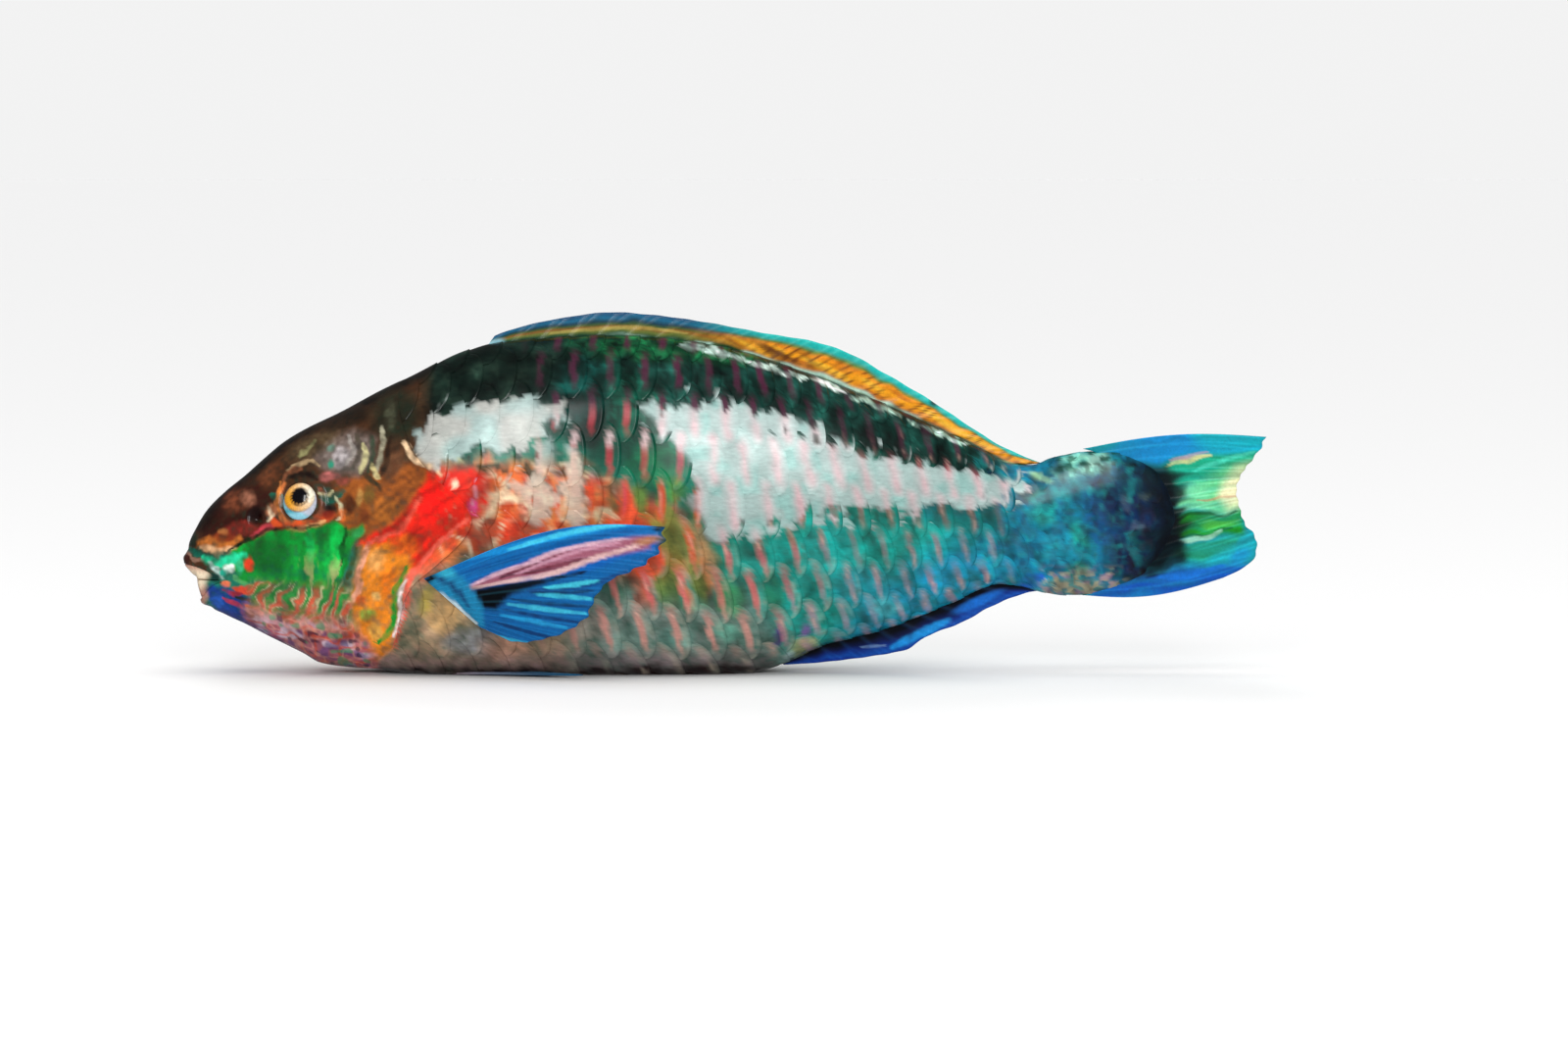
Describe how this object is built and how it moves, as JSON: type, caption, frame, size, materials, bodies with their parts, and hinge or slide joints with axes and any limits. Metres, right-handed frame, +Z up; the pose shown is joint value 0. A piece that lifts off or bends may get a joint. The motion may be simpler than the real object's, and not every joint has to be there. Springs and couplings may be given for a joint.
{
  "type": "parrotfish model",
  "caption": "Life-size still parrotfish with a blunt beaked head, deep scaled body, folded ribbed fins and a forked tail, resting upright on its flattened belly.",
  "frame": {"origin": "centre of the bounding box on the floor the fish rests on", "axes": "+X from head to tail, +Y from the left flank to the right flank, +Z up"},
  "size_m": [0.401, 0.0952, 0.1332],
  "materials": {
    "head_skin": "wet skin, brown and orange with green and blue marks",
    "beak": "smooth cream tooth plate",
    "eye": "wet eye, golden iris",
    "trunk_skin": "wet scaled skin, teal green with pink bars",
    "stalk_skin": "wet scaled skin, mottled blue and turquoise",
    "dorsal_membrane": "wet membrane, orange with a blue margin",
    "anal_membrane": "wet membrane, royal blue",
    "caudal_membrane": "wet membrane, blue and turquoise",
    "paired_membrane": "wet membrane, blue with lighter rays"
  },
  "bodies": {
    "root": {"head": "head_skin", "beak_upper": "beak", "beak_lower": "beak", "eye_left": "eye", "eye_right": "eye", "trunk": "trunk_skin", "tail_stalk": "stalk_skin", "dorsal_fin": "dorsal_membrane", "anal_fin": "anal_membrane", "caudal_fin": "caudal_membrane", "pectoral_fin_left": "paired_membrane", "pectoral_fin_right": "paired_membrane", "pelvic_fin_left": "paired_membrane", "pelvic_fin_right": "paired_membrane"}
  },
  "joints": []
}
